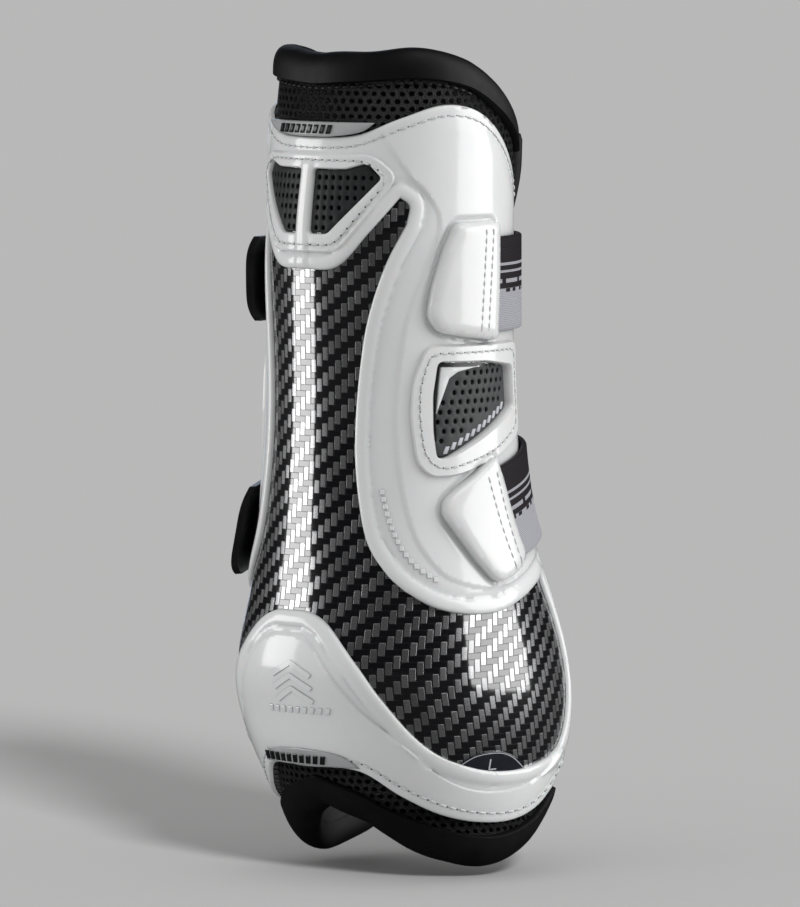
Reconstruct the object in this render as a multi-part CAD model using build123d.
from build123d import *
from functools import lru_cache
from math import atan2, cos, pi, radians, sin, sqrt, tan
import os

# Left-leg open-front tendon boot for a horse.  Millimetres, +Z up the leg.
# The origin is on the leg's axis at the lower opening.  The tendon (back) side faces -Y, the open
# front faces +Y, the inner (medial) side faces +X and the fastening (lateral) side faces -X.
# A place on the boot is an angle around the leg, in degrees from the back towards the medial side,
# a height, and an offset outwards from the outer face of the carbon shell.

# ---------------------------------------------------------------- driving dimensions
# Girth of the shell: height, half width, back depth, front depth, forward shift of the centre.
GIRTH = [
    (-12, 36.0, 37.0, 37.0, 14.5),
    (0, 37.5, 38.5, 39.0, 13.5),
    (20, 42.0, 40.5, 51.0, 9.5),
    (40, 45.3, 44.0, 63.0, 4.5),
    (58, 45.2, 47.5, 63.5, 2.0),
    (80, 41.8, 41.0, 57.0, 0.5),
    (105, 37.2, 37.8, 45.5, 0.0),
    (140, 35.0, 36.0, 40.5, 0.0),
    (190, 35.4, 36.0, 38.6, 0.0),
    (220, 35.6, 32.5, 40.0, 0.0),
    (256, 35.8, 32.0, 41.0, 0.0),
]
FRONT_EDGE = 142.0          # angle of the shell's front edges, each side of the back
BINDING_EDGE = 149.0        # angle of the padded front edges

# Edges that run around the boot: (angle, height) from the back to the front edge.
SHELL_TOP = [(0, 220), (28, 221), (50, 226), (72, 230), (92, 228), (112, 220), (142, 202)]
SHELL_FOOT = [(0, 28), (30, 27.5), (50, 20), (70, 14), (90, 11), (108, 11), (124, 15), (142, 25)]
ROLL_TOP_SEAM = [(0, 236), (30, 237), (60, 238), (88, 235), (110, 228), (142, 214)]
ROLL_FOOT_SEAM = [(0, 25), (28, 20), (40, 16.5), (58, 12), (79, 8), (102, 6), (125, 10), (142, 18)]
ROLL_HEIGHT = 9.0           # height of the rolled neoprene collars

# Layers of the wall, as offsets from the outer face of the carbon shell.
LAYER_GAP = 0.05            # between layers that share one surface
SOFT_GAP = 0.5              # outside each soft layer
ROLL_GAP = 1.5              # between the soft layers' edges and the rolled collars
SEAT_GAP = 0.25             # under pieces laid on the frame along a strap
FRAME_OUT = 1.6             # white moulded frame
SHELL_IN = -1.6             # carbon-look shell
MESH_IN = -5.6              # air mesh
FOAM_IN = -8.6              # padding foam
LINING_IN = -10.6           # neoprene lining

# Window in the white frame, one half, as (angle, height) points of its edges.
WINDOW_V = [(0, 180), (19, 181), (35, 191.5), (50, 202)]
WINDOW_PEAK = [(50, 202), (54.5, 199.5), (53, 194)]
WINDOW_RIM = [(53, 194), (43, 182), (35, 167), (31, 153), (28.5, 135), (29, 118), (34, 99), (43, 88.5),
              (51, 83)]
WINDOW_LEDGE = [(51, 83), (63, 78), (78, 75.5), (95, 75.5), (112, 78.5), (134, 84)]
WINDOW_FRONT = [(134, 84), (139, 70), (140, 50), (136, 34), (126, 29)]
WINDOW_FOOT = [(126, 29), (110, 27), (93, 27), (79, 29), (65, 33), (53, 40), (41, 51), (32, 61), (20, 72),
               (10, 76), (0, 76.5)]

# Vents, as (angle, height) corners.
BACK_VENT = [(6.5, 191), (14, 191), (41, 208), (34, 212.5), (23, 210.5), (6.5, 210.5)]
SIDE_VENT = [(67, 123), (72, 123), (100, 131), (121, 137), (119, 149.5), (96, 151.5), (68, 152), (65.5, 142),
             (65.5, 131)]
SIDE_WEDGE = [(67.5, 136), (75, 147), (80, 148.8), (95, 150.3), (70, 150.6)]

# Straps: height of the middle line on the leg's axis, tilt of the strap's plane (front end up) and
# the angle where the strap leaves its cover.
UPPER_STRAP = {"height": 175.0, "tilt": 0.0, "cover_end": 103.5}
LOWER_STRAP = {"height": 102.5, "tilt": 12.0, "cover_end": 109.0}
STRAP_WIDTH = 29.0
STRAP_THICK = 2.0
STRAP_INNER = 2.2           # offset of the strap's inner face
TAB_INNER = 3.4             # offset of the pull tab's inner face, over the stud plate
TAB_WIDTH = 26.0
TAB_CURL = 2.5              # how far the tab's free end stands out
TAB_CORNER = 7.0            # how far the tab's free end draws back at its sides, in degrees
ROOT_END = 92.0             # the strap's sewn end, under its cover
HINGES = (124.0, 160.0, 196.0, 232.0)
TAB_END = 310.0
SEAM_GAP = 0.5              # half of the gap between two strap pieces, in degrees
COVER_START = 66.0
COVER_OUT = 5.6
COVER_MARGIN = 2.5          # how far the cover reaches past each side of the strap
STUD_ANGLES = (278.0, 291.0)
TAB_HOLE_ANGLES = (252.0, 265.0, 278.0, 291.0)
STUD_PLATE_START, STUD_PLATE_END = 262.0, 304.0
STUD_PLATE_WIDTH = 16.0
STUD_PLATE_OUT = 2.6
STUD_NECK_R, STUD_HEAD_R, TAB_HOLE_R = 2.2, 3.1, 3.6
STUD_NECK_TOP, STUD_HEAD_TOP = 5.8, 7.2


# ---------------------------------------------------------------- the boot's surface
def smooth(table, x, column=1):
    """Smooth curve through a table's rows, level beyond its ends."""
    last = len(table) - 1
    if x <= table[0][0] or x >= table[last][0]:
        return table[0 if x <= table[0][0] else last][column]
    i = max(k for k in range(last) if table[k][0] <= x)

    def slope(k):
        a, b = table[max(k - 1, 0)], table[min(k + 1, last)]
        return (b[column] - a[column]) / (b[0] - a[0])

    width = table[i + 1][0] - table[i][0]
    t = (x - table[i][0]) / width
    rise = t * t * (3 - 2 * t)
    bend = width * t * (1 - t) * (slope(i) * (1 - t) - slope(i + 1) * t)
    return table[i][column] * (1 - rise) + table[i + 1][column] * rise + bend


@lru_cache(maxsize=None)
def reach(angle, height):
    """Distance from the leg's axis to the shell's outer face."""
    half, back, front, shift = (smooth(GIRTH, height, column) for column in (1, 2, 3, 4))
    aim = radians(angle)
    t = aim
    for _ in range(12):
        depth = back + (front - back) * (1 - cos(t)) / 2
        r = 1 / sqrt((sin(t) / half) ** 2 + (cos(t) / depth) ** 2)
        x, y = r * sin(t), shift - r * cos(t)
        t += (aim - atan2(x, -y) + pi) % (2 * pi) - pi
    return sqrt(x * x + y * y)


def place(angle, height, offset=0.0):
    """Point at an angle around the leg and a height, offset outwards from the shell."""
    r = reach(angle, height) + offset
    return Vector(r * sin(radians(angle)), -r * cos(radians(angle)), height)


def span(a, b, count):
    """Evenly spaced values from a to b."""
    return [a + (b - a) * i / (count - 1) for i in range(count)]


def loop_of(outer, inner):
    """Closed wire of two curves through points, joined by straight ends."""
    far, near = Spline(outer), Spline(inner[::-1])
    return Wire([far, Line(far @ 1, near @ 0), near, Line(near @ 1, far @ 0)])


# ---------------------------------------------------------------- solids on the surface
def wall(inside, outside, top, foot, edge=FRONT_EDGE):
    """Layer of the boot's wall between two running edges, from front edge to front edge."""
    sections = []
    for angle in span(-edge, edge, 25):
        heights = span(smooth(foot, abs(angle)), smooth(top, abs(angle)), 15)
        sections.append(loop_of([place(angle, z, outside) for z in heights],
                                [place(angle, z, inside) for z in heights]))
    return Solid.make_loft(sections)


def curve(points, count=3):
    """Smooth run of (angle, height) points through the given ones."""
    numbered = [(i, *p) for i, p in enumerate(points)]
    steps = span(0, len(points) - 1, (len(points) - 1) * count + 1)
    return [(smooth(numbered, s, 1), smooth(numbered, s, 2)) for s in steps]


def clipped(runs, first, last):
    """Runs of points kept between two angles, closed straight up the cuts."""
    return [[p for p in run if first <= p[0] <= last] for run in runs]


def prism(runs, facing, mirror=1):
    """Cutter pushed straight out through the wall, its outline drawn on the shell's face."""
    view = radians(facing)
    right = Vector(cos(view), sin(view), 0)
    plane = Plane(origin=(0, 0, 0), x_dir=right, z_dir=(sin(view), -cos(view), 0))
    flat = []
    for run in runs:
        for angle, z in run:
            p = plane.to_local_coords(place(angle, z, FRAME_OUT / 2))
            if not flat or (Vector(p.X, p.Y) - flat[-1]).length > 0.05:
                flat.append(Vector(p.X, p.Y))
    face = Face(Wire.make_polygon(flat, close=True))
    cutter = Solid.extrude(plane.from_local_coords(face), plane.z_dir * 90)
    return cutter if mirror == 1 else cutter.mirror(Plane.YZ)


def plate(corners, facing, inside, outside, mirror=1, shrink=0.0):
    """Thin plate that follows the wall inside an outline."""
    middle = (sum(c[0] for c in corners) / len(corners), sum(c[1] for c in corners) / len(corners))
    if shrink:
        corners = [tuple(m + (c - m) * (1 - shrink) for c, m in zip(corner, middle)) for corner in corners]
    angles, heights = [c[0] for c in corners], [c[1] for c in corners]
    levels = span(min(heights) - 2, max(heights) + 2, 7)
    sections = []
    for angle in span(min(angles) - 2, max(angles) + 2, 9):
        sections.append(loop_of([place(angle, z, outside) for z in levels],
                                [place(angle, z, inside) for z in levels]))
    solid = Solid.make_loft(sections) & prism([corners], facing)
    solid = solid.solids()[0] if hasattr(solid, "solids") else solid
    return solid if mirror == 1 else solid.mirror(Plane.YZ)


# ---------------------------------------------------------------- shell, frame and vents
def carbon_shell():
    return wall(SHELL_IN, 0.0, SHELL_TOP, SHELL_FOOT)


def window_runs():
    """The window's half outline, as smooth runs that meet at its corners."""
    return [curve(run) for run in (WINDOW_V, WINDOW_PEAK, WINDOW_RIM, WINDOW_LEDGE, WINDOW_FRONT, WINDOW_FOOT)]


def outer_frame():
    frame = wall(LAYER_GAP, FRAME_OUT, SHELL_TOP, SHELL_FOOT)
    runs = window_runs()
    half = clipped(runs, 0.0, 72.0)
    whole = half + [[(-a, z) for a, z in run[::-1]] for run in half[::-1]]
    frame = frame - prism(whole, 0)
    side = clipped(runs[3:], 44.0, 141.0)
    for mirror in (1, -1):
        frame = frame - prism(side, 95, mirror)
        frame = frame - prism([BACK_VENT], 20, mirror)
        frame = frame - prism([SIDE_VENT], 90, mirror)
    return frame


def back_vent_grille(mirror):
    return plate(BACK_VENT, 20, LAYER_GAP, 1.1, mirror, shrink=0.04)


def side_vent_grille(mirror):
    return plate(SIDE_VENT, 90, LAYER_GAP, 0.7, mirror, shrink=0.02)


def side_vent_wedge(mirror):
    return plate(SIDE_WEDGE, 80, 0.75, 1.5, mirror)


# ---------------------------------------------------------------- tags and label
def top_tag():
    half = curve([(38, 224.8), (30, 221.8), (14, 220.4), (0, 220.2)])
    return plate(half + [(-a, z) for a, z in half[::-1]], 0, FRAME_OUT + 0.05, FRAME_OUT + 1.2)


def bottom_tag():
    half = curve([(31, 28.4), (24, 31.8), (14, 33.4), (0, 34)])
    return plate(half + [(-a, z) for a, z in half[::-1]], 0, FRAME_OUT + 0.05, FRAME_OUT + 1.2)


def side_marker_label():
    arch = curve([(73, 28.5), (82, 32.5), (93, 33), (102, 31), (110, 26.5)])
    foot = curve([(110, 26.5), (103, 25.6), (95, 25.4), (82, 26.3), (73, 28.5)])
    return plate(arch + foot[1:-1], 90, FRAME_OUT + 0.05, FRAME_OUT + 0.6)


# ---------------------------------------------------------------- padding inside the shell
def soft_layer(inside, outside):
    top = [(angle, z - ROLL_GAP) for angle, z in ROLL_TOP_SEAM]
    foot = [(angle, z + ROLL_GAP) for angle, z in ROLL_FOOT_SEAM]
    return wall(inside, outside - SOFT_GAP, top, foot)


def roll(seam, height):
    """Rolled collar standing on a seam; a negative height hangs below it."""
    sections = []
    for angle in span(-FRONT_EDGE, FRONT_EDGE, 25):
        z = smooth(seam, abs(angle))
        foot, edge = place(angle, z, LINING_IN), place(angle, z, 0.6)
        crown = [foot + (edge - foot) * u + Vector(0, 0, height * w)
                 for u, w in ((0.1, 0.7), (0.5, 1.0), (0.9, 0.7))]
        sections.append(Wire([Spline([foot] + crown + [edge]), Line(edge, foot)]))
    return Solid.make_loft(sections)


def front_binding(mirror):
    """Padded edge down the front of the liner."""
    top = smooth(ROLL_TOP_SEAM, FRONT_EDGE) + ROLL_HEIGHT - 2
    foot = smooth(ROLL_FOOT_SEAM, FRONT_EDGE) - ROLL_HEIGHT + 2
    near = FRONT_EDGE + 0.3
    sections = []
    for z in span(foot, top, 16):
        corners = [(near, LINING_IN), (BINDING_EDGE - 2, LINING_IN + 0.8), (BINDING_EDGE, -6.0),
                   (BINDING_EDGE - 2, -1.8), (near, -1.0)]
        points = [place(mirror * a, z, o) for a, o in corners]
        sections.append(Wire([Spline(points), Line(points[-1], points[0])]))
    return Solid.make_loft(sections)


# ---------------------------------------------------------------- straps and their fastening
def strap_place(strap, angle, across, offset):
    """Point on a strap: angle round the leg, distance across from its middle line, offset."""
    lean = radians(strap["tilt"])
    z = strap["height"] + across
    for _ in range(10):
        p = place(angle, round(z, 6), offset)
        z = strap["height"] + across / cos(lean) + p.Y * tan(lean)
    return Vector(p.X, p.Y, z)


def band(strap, first, last, width, inside, outside, steps=9, rows=4, corner=0.0):
    """Piece of a strap between two angles; its offsets are functions of the angle, and a corner
    draws its far end back towards its sides."""
    sections = []
    for v in span(-width / 2, width / 2, rows):
        angles = span(first, last - corner * abs(2 * v / width) ** 4, steps)
        sections.append(loop_of([strap_place(strap, a, v, outside(a)) for a in angles],
                                [strap_place(strap, a, v, inside(a)) for a in angles]))
    return Solid.make_loft(sections)


def level(offset):
    """The same offset at every angle."""
    return lambda angle: offset


def outward(strap, angle):
    """Plane on a strap's middle line, its normal pointing out of the boot."""
    p = strap_place(strap, angle, 0, 0)
    along = strap_place(strap, angle + 1, 0, 0) - strap_place(strap, angle - 1, 0, 0)
    up = strap_place(strap, angle, 5, 0) - strap_place(strap, angle, -5, 0)
    return Plane(origin=p, x_dir=along, z_dir=along.cross(up))


def cover_rise(angle):
    """Outer face of a strap cover: thin at its back edge, full over the strap."""
    rise = min(1.0, (angle - COVER_START) / 9)
    return FRAME_OUT + 0.8 + (COVER_OUT - FRAME_OUT - 0.8) * rise


def strap_cover(strap):
    """Raised cover sewn over the strap's root, with a pocket for it."""
    cover = band(strap, COVER_START, strap["cover_end"], STRAP_WIDTH + 2 * COVER_MARGIN,
                 level(FRAME_OUT + SEAT_GAP), cover_rise)
    pocket = band(strap, ROOT_END - 1, strap["cover_end"] + 4, STRAP_WIDTH + 0.6, level(FRAME_OUT - 2),
                  level(STRAP_INNER + STRAP_THICK + 0.2))
    return cover - pocket


def strap_piece(strap, first, last):
    return band(strap, first + SEAM_GAP, last - SEAM_GAP, STRAP_WIDTH, level(STRAP_INNER),
                level(STRAP_INNER + STRAP_THICK))


def tab_lift(angle):
    """Inner face of the pull tab: up from the strap, flat over the studs, then curled outwards."""
    climb = min(1.0, max(0.0, (angle - HINGES[-1]) / 12))
    curl = max(0.0, (angle - TAB_END + 16) / 16)
    return STRAP_INNER + (TAB_INNER - STRAP_INNER) * climb + TAB_CURL * curl * curl


def pull_tab(strap):
    tab = band(strap, HINGES[-1] + SEAM_GAP, TAB_END, TAB_WIDTH, tab_lift,
               lambda a: tab_lift(a) + STRAP_THICK, steps=19, rows=9, corner=TAB_CORNER)
    for angle in TAB_HOLE_ANGLES:
        tab = tab - outward(strap, angle) * Cylinder(TAB_HOLE_R, 30)
    return tab


def stud_plate(strap):
    return band(strap, STUD_PLATE_START, STUD_PLATE_END, STUD_PLATE_WIDTH, level(FRAME_OUT + SEAT_GAP),
                level(STUD_PLATE_OUT))


def studs(strap):
    """Two mushroom studs standing on the plate."""
    base = STUD_PLATE_OUT + LAYER_GAP
    on_foot = (Align.CENTER, Align.CENTER, Align.MIN)
    made = []
    for angle in STUD_ANGLES:
        neck = Pos(0, 0, base) * Cylinder(STUD_NECK_R, STUD_NECK_TOP - base, align=on_foot)
        cap = Cone(STUD_HEAD_R, STUD_HEAD_R * 0.6, STUD_HEAD_TOP - STUD_NECK_TOP, align=on_foot)
        made.append(outward(strap, angle) * (neck + Pos(0, 0, STUD_NECK_TOP) * cap))
    return Compound(children=made)


def write(name, shape):
    export_step(shape, f"parts/{name}.step")


def main():
    os.makedirs("parts", exist_ok=True)
    write("carbon_shell", carbon_shell())
    write("outer_frame", outer_frame())
    for mirror, side in ((1, "medial"), (-1, "lateral")):
        write(f"back_vent_grille_{side}", back_vent_grille(mirror))
        write(f"side_vent_grille_{side}", side_vent_grille(mirror))
        write(f"side_vent_wedge_{side}", side_vent_wedge(mirror))
        write(f"front_binding_{side}", front_binding(mirror))
    write("top_tag", top_tag())
    write("bottom_tag", bottom_tag())
    write("side_marker_label", side_marker_label())
    write("air_mesh_liner", soft_layer(MESH_IN, SHELL_IN))
    write("padding_foam", soft_layer(FOAM_IN, MESH_IN))
    write("neoprene_lining", soft_layer(LINING_IN, FOAM_IN))
    write("top_collar", roll(ROLL_TOP_SEAM, ROLL_HEIGHT))
    write("bottom_collar", roll(ROLL_FOOT_SEAM, -ROLL_HEIGHT))
    for strap, name in ((UPPER_STRAP, "upper"), (LOWER_STRAP, "lower")):
        write(f"{name}_strap_cover", strap_cover(strap))
        write(f"{name}_strap_root", strap_piece(strap, ROOT_END, HINGES[0]))
        for i, part in enumerate(("inner", "middle", "outer")):
            write(f"{name}_strap_{part}", strap_piece(strap, HINGES[i], HINGES[i + 1]))
        write(f"{name}_pull_tab", pull_tab(strap))
        write(f"{name}_stud_plate", stud_plate(strap))
        write(f"{name}_studs", studs(strap))


main()
